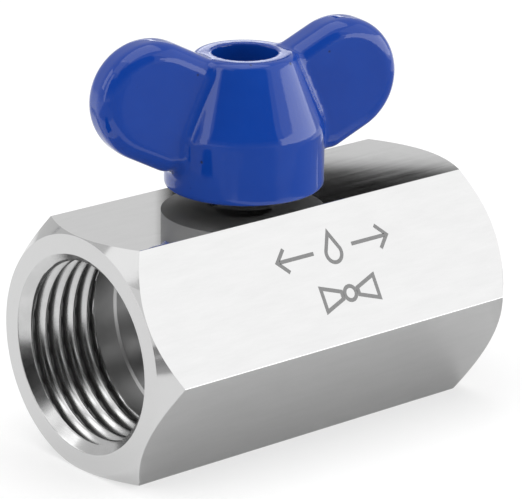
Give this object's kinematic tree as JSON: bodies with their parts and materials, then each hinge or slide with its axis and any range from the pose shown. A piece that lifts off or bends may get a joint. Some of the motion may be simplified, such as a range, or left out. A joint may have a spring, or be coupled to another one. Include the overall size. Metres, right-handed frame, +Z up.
{
  "type": "water shutoff valve",
  "caption": "Small hexagon-bar ball valve with a female pipe thread at each end and a winged quarter-turn handle on top.",
  "frame": {"origin": "middle of the bottom flat of the hexagon body", "axes": "+X along the bore towards the far port, +Z up along the stem towards the handle, +Y across the body"},
  "size_m": [0.0474, 0.0288, 0.043],
  "materials": {
    "body_steel": "polished, bright, faint machining marks",
    "handle_coating": "glossy blue powder coating on die-cast metal",
    "inner_steel": "turned, satin",
    "ball_steel": "mirror-polished stainless steel",
    "ptfe": "white PTFE, waxy",
    "seal_rubber": "black rubber",
    "fastener_steel": "plain stainless fastener"
  },
  "bodies": {
    "valve_body": {"body": "body_steel", "body_insert": "inner_steel", "insert_gasket": "ptfe", "seat_near": "ptfe", "seat_far": "ptfe", "thrust_washer": "ptfe", "packing_lower": "ptfe", "packing_upper": "ptfe", "packing_follower": "inner_steel", "gland_nut": "inner_steel", "stop_pin": "inner_steel"},
    "handle_assembly": {"handle": "handle_coating", "stem": "inner_steel", "stem_o_ring": "seal_rubber", "handle_washer": "fastener_steel", "spring_washer": "fastener_steel", "handle_screw": "fastener_steel"},
    "closing_ball": {"ball": "ball_steel"}
  },
  "joints": [
    {"name": "handle_turn", "type": "hinge", "parent": "valve_body", "child": "handle_assembly", "pos_m": [-0.0022, 0, 0.03], "axis": [0, 0, 1], "range_deg": [-77.5, 12.5]},
    {"name": "ball_turn", "type": "hinge", "parent": "valve_body", "child": "closing_ball", "pos_m": [-0.0022, 0, 0.0125], "axis": [0, 0, 1], "range_deg": [-77.5, 12.5]}
  ],
  "couplings": [
    {"joint": "ball_turn", "follows": "handle_turn", "ratio": 1}
  ]
}
